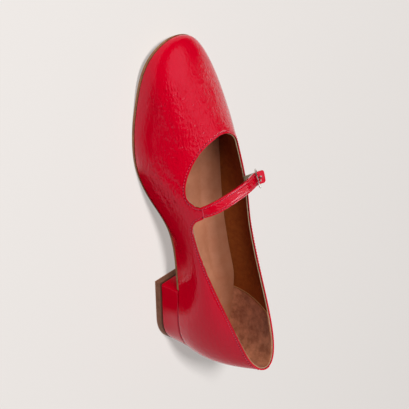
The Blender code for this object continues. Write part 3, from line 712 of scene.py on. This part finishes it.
grip = {
    "front": -76.0,    # mm along the shoe, where its front edge meets the sock
    "lean": 0.12,      # mm that the edge goes back for each mm up
    "foot": 31.2,      # mm above the floor, just over the sock
    "thick": 0.45,
    "piping": 0.45,
    "pipingIn": 0.3,   # mm that the piping stands in from the wall
    "pivot": 30.0,     # mm above the floor, the height at which the edge is at front
}
gripFront = Vector((0, grip["front"], grip["pivot"])) * mm
gripWay = Vector((0, 1, grip["lean"])).normalized()
heelGrip = lining.copy()
heelGrip.data = lining.data.copy()
heelGrip.name = heelGrip.data.name = "heelGrip"
bpy.context.scene.collection.objects.link(heelGrip)
editAll(heelGrip)
bpy.ops.mesh.bisect(plane_co=gripFront, plane_no=(0, 1, grip["lean"]), clear_outer=True)
bpy.ops.mesh.select_all(action="SELECT")
bpy.ops.mesh.bisect(plane_co=(0, 0, grip["foot"] * mm), plane_no=(0, 0, 1), clear_inner=True)
objectMode()

for finish in (liningLeather, liningEdge):
    lining.data.materials.append(finish)
addModifier(lining, "SOLIDIFY", thickness=upper["liningThick"] * mm, offset=-1, use_even_offset=True,
            material_offset_rim=1)
smoothShade(lining)
settle(lining, None, "patent_upper")

edgeRuns = {1: [], -1: []}
for v in heelGrip.data.vertices:
    if abs((v.co - gripFront).dot(gripWay)) < 0.02 * mm:
        edgeRuns[1 if v.co.x > 0 else -1].append(v.co.copy())
addModifier(heelGrip, "SOLIDIFY", thickness=grip["thick"] * mm, offset=1, use_even_offset=True)
smoothShade(heelGrip)
settle(heelGrip, suede, "sock")

for side, run in edgeRuns.items():
    run.sort(key=lambda p: p.z)
    inward = Vector((-side * grip["pipingIn"] * mm, 0, 0))
    cordAlong("gripPiping" + ("Outer" if side > 0 else "Inner"), [p + inward for p in run],
              grip["piping"], brownThread, "sock")
print("lining and heel grip done")


sock = {
    "grooveDepth": 0.8,      # mm
    "grooveWidth": 1.5,
    "padRise": 0.5,
    "padReach": 5.0,         # mm past the groove at which the pad is at its full height
    "turnUp": 1.8,
    "turnReach": 4.0,
    "darkRim": 6.0,
    "turnFrom": 10.0,        # mm out from the middle line, where it turns up in full
    "round": 0.5,
    "toeFrom": 10.0,         # mm along the shoe where it starts to darken towards the toe
    "toeOver": 45.0,         # mm over which it does so
    "shadeNear": 0.15,       # how dark each painted shade is: the wide one by the wall, the rim's and the toe's
    "shadeRim": 0.36,
    "shadeToe": 0.3,
    # mm along the shoe: mm that the wide painted shade reaches in from the rim
    "shadeWidth": [(-118, 6.0), (-60, 10.0), (0, 16.0), (60, 18.0), (120, 18.0)],
    # mm along the shoe: mm from the sock's edge to the middle of the groove
    "groove": [(-118, 5.0), (-85, 5.0), (-73, 6.0), (-47, 7.6), (0, 9.0), (60, 10.0), (120, 10.0)],
}


def readTable(rows, at):
    for (a, low), (b, high) in zip(rows, rows[1:]):
        if at <= b:
            share = min(max((at - a) / (b - a), 0.0), 1.0)
            return low + (high - low) * share
    return rows[-1][1]


sockPiece = copyOfNode("insole", "sockPiece")
roundEdges(sockPiece, sock["round"], 2)
subdivide(sockPiece, 2)
smoothShade(sockPiece)
rim = [v.co.copy() for v in sockPiece.data.vertices
       if 0.3 < math.hypot(v.normal.x, v.normal.y) and v.normal.z > 0.2]
rimTree = treeOfPoints([Vector((p.x, p.y, 0)) for p in rim])
shade = sockPiece.data.attributes.new("shade", "FLOAT", "POINT")
for v in sockPiece.data.vertices:
    # painted shade: darker by the outer wall, which shades it, and on into the toe under the vamp
    away = rimTree.find(Vector((v.co.x, v.co.y, 0)))[2] / mm
    toToe = min(max((v.co.y / mm - sock["toeFrom"]) / sock["toeOver"], 0.0), 1.0)
    side = 1.0 if v.co.x > 0 else toToe
    near = 1 - min(away / readTable(sock["shadeWidth"], v.co.y / mm), 1.0)
    rimShade = max(1 - away / sock["darkRim"], 0.0)
    byWall = sock["shadeNear"] * near + sock["shadeRim"] * rimShade
    shade.data[v.index].value = side * byWall + sock["shadeToe"] * toToe
    if v.co.x > 0:
        # it turns up a little where it meets the outer wall
        turned = sock["turnUp"] * math.exp(-(away / sock["turnReach"]) ** 2)
        v.co.z += turned * min(v.co.x / mm / sock["turnFrom"], 1.0) * mm
    if v.normal.z < 0.5:
        continue
    middle = readTable(sock["groove"], v.co.y / mm)
    dip = sock["grooveDepth"] * math.exp(-((away - middle) / sock["grooveWidth"]) ** 2)
    rise = sock["padRise"] * min(max((away - middle) / sock["padReach"], 0.0), 1.0)
    v.co.z += (rise - dip) * mm
settle(sockPiece, sockLeather, "sock", "insole")
print("sock done")


strap = {
    "width": 9.0,        # mm
    "thick": 1.9,
    "round": 0.5,
    "sink": 0.35,        # mm that it lies below the tab's face at the seam
    "tilt": 12.0,        # degrees, its back edge is the higher
    "turn": 12.0,        # mm over which it leaves the tab's slant
    "tipCut": 1.1,       # mm cut off each corner of the tip
    "seamNarrow": 0.55,  # mm that each half is narrower at the seam
    "sinkOver": 4.0,     # mm from the seam over which it comes up level
    "sewFrom": 1.0,      # mm from the seam, where its stitches start
    "puff": 0.18,        # mm that it is fuller between its two rows of stitches
    "acrossRing": (0.0, 0.94, -0.35),
    # mm, the middle line of its outer face from the tab's seam to the tip
    "route": [(-29.4, 13.4, 52.1), (-24.4, 15.6, 56.8), (-17.2, 16.9, 59.3), (-3.7, 18.1, 60.4),
              (10.8, 17.9, 59.0), (21.3, 16.3, 55.4), (26.0, 15.5, 53.6), (30.5, 14.8, 52.8),
              (36.6, 14.2, 53.6)],
    "plainTip": 8.0,     # mm at the tip with no stitches
    "rings": 90,
    "columns": 16,
    "holes": 3,
    "holePitch": 4.4,
    "holeRadius": 0.75,
    "prongHoleRadius": 1.15,
    "prongHole": (31.6, 14.8, 53.4),     # mm, a place on the prong's line through the strap
    "prongWay": (0.75, -0.23, -0.62),
}


def strapRings():
    # centre, way ahead, way across, outward, half width and reach at even steps from the seam to the tip
    run = smoothRoute([Vector(p) * mm for p in strap["route"]])
    length = sum((b - a).length for a, b in zip(run, run[1:]))
    places = stepsAlong(run, length / strap["rings"])
    tilt = math.radians(strap["tilt"])
    tilted = Vector((0, math.cos(tilt), -math.sin(tilt)))
    atSeam, atRing = Vector(upper["seamAcross"]), Vector(strap["acrossRing"])
    rings = []
    for i, (middle, way) in enumerate(places):
        reach = length * i / strap["rings"] / mm
        cut = max(reach - (length / mm - strap["tipCut"]), 0)
        level = min(reach / strap["turn"], 1.0)
        swing = min(max(reach - (length / mm - 2.5 * strap["turn"]), 0) / (1.5 * strap["turn"]), 1.0)
        across = atSeam.lerp(tilted, level).lerp(atRing, swing)
        across = (across - way * across.dot(way)).normalized()
        outward = way.cross(across)
        if outward.z < 0:
            outward.negate()
        sink = strap["sink"] * max(1 - reach / strap["sinkOver"], 0.0)
        half = strap["width"] / 2 - strap["seamNarrow"] * (1 - level) - cut
        rings.append((middle - outward * sink * mm, way, across, outward, half, reach))
    return rings, length / mm


rings, strapLength = strapRings()
deselectEverything()
bpy.ops.mesh.primitive_grid_add(x_subdivisions=strap["rings"], y_subdivisions=strap["columns"], size=1)
strapPiece = bpy.context.object
strapPiece.name = strapPiece.data.name = "strapPiece"
for v in strapPiece.data.vertices:
    middle, _, across, outward, half, _ = rings[round((v.co.x + 0.5) * strap["rings"])]
    share = v.co.y * 2
    puff = strap["puff"] * (1 - abs(share) ** 4)
    v.co = middle + across * half * share * mm + outward * (puff - strap["puff"]) * mm
editAll(strapPiece)
bpy.ops.mesh.normals_make_consistent(inside=False)
objectMode()
if strapPiece.data.vertices[0].normal.dot(rings[0][3]) < 0:
    editAll(strapPiece)
    bpy.ops.mesh.flip_normals()
    objectMode()
sewnRings = [r for r in rings if strap["sewFrom"] < r[5] < strapLength - strap["plainTip"]]
strapEdges = [[m + a * h * side * mm for m, _, a, _, h, _ in sewnRings] for side in (-1, 1)]
strapSurface = surfaceOf(strapPiece)
addModifier(strapPiece, "SOLIDIFY", thickness=strap["thick"] * mm, offset=-1, use_even_offset=True)
roundEdges(strapPiece, strap["round"], 3)

cutters = []
prongWay = Vector(strap["prongWay"]).normalized()
deselectEverything()
bpy.ops.mesh.primitive_cylinder_add(vertices=20, radius=strap["prongHoleRadius"] * mm, depth=10 * mm,
                                    location=Vector(strap["prongHole"]) * mm,
                                    rotation=prongWay.to_track_quat("Z", "Y").to_euler())
cutters.append(bpy.context.object)
ringReach = min(rings, key=lambda r: (r[0] - Vector(strap["prongHole"]) * mm).length)[5]
for step in range(1, strap["holes"] + 1):
    at = ringReach - step * strap["holePitch"]
    middle, _, _, outward, _, _ = min(rings, key=lambda r: abs(r[5] - at))
    deselectEverything()
    bpy.ops.mesh.primitive_cylinder_add(vertices=20, radius=strap["holeRadius"] * mm, depth=6 * mm,
                                        location=middle, rotation=outward.to_track_quat("Z", "Y").to_euler())
    cutters.append(bpy.context.object)
deselectEverything()
for cutter in cutters:
    cutter.select_set(True)
bpy.context.view_layer.objects.active = cutters[0]
bpy.ops.object.join()
addModifier(strapPiece, "BOOLEAN", object=cutters[0], operation="DIFFERENCE", solver="MANIFOLD")
bpy.data.objects.remove(cutters[0], do_unlink=True)
markSeams(strapPiece, [(strapEdges[0], False), (strapEdges[1], False)])
pick(strapPiece)
bpy.ops.object.shade_smooth_by_angle(angle=math.radians(40))
settle(strapPiece, strapPatent, "patent_strap", "strap")
print("strap done")


stitch = {
    "length": 1.5,      # mm
    "radius": 0.27,
    "dip": 0.25,        # mm that its ends go down into the leather
    "lift": 0.08,       # mm that its middle stands off the leather
}


def sew(pieceName, seats, finish, slotName):
    # one stitch is modelled, then set down at each seat with a mesh of its own, and they are joined
    deselectEverything()
    bpy.ops.mesh.primitive_uv_sphere_add(segments=8, ring_count=6, radius=stitch["radius"] * mm,
                                         rotation=(0, math.radians(90), 0))
    first = bpy.context.object
    bpy.ops.object.transform_apply(location=True, rotation=True, scale=True)
    straight = (stitch["length"] / 2 - stitch["radius"]) * mm
    for v in first.data.vertices:
        if abs(v.co.x) > 0.01 * mm:
            v.co.x += math.copysign(straight, v.co.x)
        v.co.z -= stitch["dip"] * mm * (v.co.x / (stitch["length"] / 2 * mm)) ** 2
    copies = []
    for place, way, up in seats:
        one = first.copy()
        one.data = first.data.copy()
        bpy.context.scene.collection.objects.link(one)
        side = up.cross(way).normalized()
        ahead = side.cross(up)
        one.data.transform(Matrix((ahead, side, up)).transposed().to_4x4())
        one.data.transform(Matrix.Translation(place))
        copies.append(one)
    bpy.data.objects.remove(first, do_unlink=True)
    deselectEverything()
    for one in copies:
        one.select_set(True)
    bpy.context.view_layer.objects.active = copies[0]
    bpy.ops.object.join()
    row = bpy.context.object
    row.name = row.data.name = pieceName
    smoothShade(row)
    return settle(row, finish, slotName)


def seatsAlong(edge, surface, closed, inset, skip=None, start=0.0):
    # places for stitches on a surface, a set way in from an edge
    seats = []
    for place, way in stepsAlong(edge, patent["stitchPitch"] * mm, closed, start * mm):
        _, normal, _, _ = surface.find_nearest(place)
        inward = normal.cross(way).normalized()
        tries = []
        for sign in (1, -1):
            spot, spotNormal, _, _ = surface.find_nearest(place + inward * sign * inset * mm)
            tries.append(((spot - place).length, spot, spotNormal))
        _, spot, spotNormal = max(tries, key=lambda t: t[0])
        if skip and skip(spot):
            continue
        seats.append((spot + spotNormal * stitch["lift"] * mm, way, spotNormal))
    return seats


seats = seatsAlong(topline, outerSurface, True, patent["seamFromEdge"], lambda spot: pastSeam(spot, 1.9))
for edge in strapEdges:
    seats += seatsAlong(edge, strapSurface, False, patent["seamFromEdge"] - 0.1, start=0.5)
sew("edgeStitches", seats, thread, "patent_upper")
print("stitches", len(seats))


keeper = {
    "cutAt": 41.3,     # mm above the floor, just below the top of the wall
    "bendAt": 44.0,
    "outward": 2.0,    # mm that its end moves over to lie between leather and lining
    "bendOver": 2.4,   # mm below the bend in which it moves over
    "round": 0.25,
}
ringThinner = 0.18     # mm taken off the ring's wire all round
for nodeName, pieceName, finish, slotName in (
        ("buckle_ring", "buckleRing", wire, "buckle_ring"),
        ("buckle_prong", "buckleProng", wire, "buckle_prong"),
        ("buckle_keeper", "buckleKeeper", elastic, "elastic")):
    piece = copyOfNode(nodeName, pieceName)
    if nodeName == "buckle_keeper":
        # its sewn-in ends go down between leather and lining, out of sight
        editAll(piece)
        bpy.ops.mesh.bisect(plane_co=(0, 0, keeper["cutAt"] * mm), plane_no=(0, 0, 1), clear_inner=True,
                            use_fill=True)
        objectMode()
        for v in piece.data.vertices:
            below = (keeper["bendAt"] - v.co.z / mm) / keeper["bendOver"]
            v.co.x += keeper["outward"] * mm * min(max(below, 0), 1)
        roundEdges(piece, keeper["round"], 2)
    subdivide(piece, 2)
    if nodeName == "buckle_ring":
        editAll(piece)
        bpy.ops.transform.shrink_fatten(value=-ringThinner * mm)
        objectMode()
    smoothShade(piece)
    settle(piece, finish, slotName, nodeName)
print("buckle done")

outsole = copyOfNode("outsole", "outsolePiece")
roundEdges(outsole, 0.35, 2)
subdivide(outsole, 2)
smoothShade(outsole)
settle(outsole, soleLeather, "outsole", "outsole")

heelCover = {
    "corner": 1.7,      # mm, its two upright corners
    "edge": 0.6,
    "middle": -95.0,    # mm along the shoe, towards which it turns in
    "turnIn": 2.5,      # mm
    "turnReach": 1.4,   # mm from the upper
    "fineWithin": 3.0,  # mm from the upper, where the mesh is made finer first
}
heelBlock = copyOfNode("heel_block", "heelCover")
roundEdges(heelBlock, heelCover["corner"], 4, upright=True)
roundEdges(heelBlock, heelCover["edge"], 3, sharp=60)
subdivide(heelBlock, 1)
# the cover turns in under the upper, which leaves a dark line between them
for cuts in (2, 1):
    editAll(heelBlock)
    bpy.ops.mesh.select_all(action="DESELECT")
    objectMode()
    for face in heelBlock.data.polygons:
        gaps = [outerSurface.find_nearest(heelBlock.data.vertices[i].co)[3] for i in face.vertices]
        face.select = min(gaps) < heelCover["fineWithin"] * mm and abs(face.normal.z) < 0.8
    bpy.ops.object.mode_set(mode="EDIT")
    bpy.ops.mesh.subdivide(number_cuts=cuts)
    objectMode()
moves = []
for v in heelBlock.data.vertices:
    gap = outerSurface.find_nearest(v.co)[3] / mm
    inward = Vector((-v.co.x, heelCover["middle"] * mm - v.co.y, 0)).normalized()
    moves.append(inward * heelCover["turnIn"] * math.exp(-(gap / heelCover["turnReach"]) ** 2) * mm)
for v, move in zip(heelBlock.data.vertices, moves):
    v.co += move
smoothShade(heelBlock)
settle(heelBlock, heelPatent, "patent_heel", "heel_block")

heelLift = copyOfNode("heel_lift", "topPiecePiece")
roundEdges(heelLift, 0.4, 2)
pick(heelLift)
bpy.ops.object.shade_smooth_by_angle(angle=math.radians(40))
settle(heelLift, topPiece, "top_piece", "heel_lift")
print("sole and heel done")
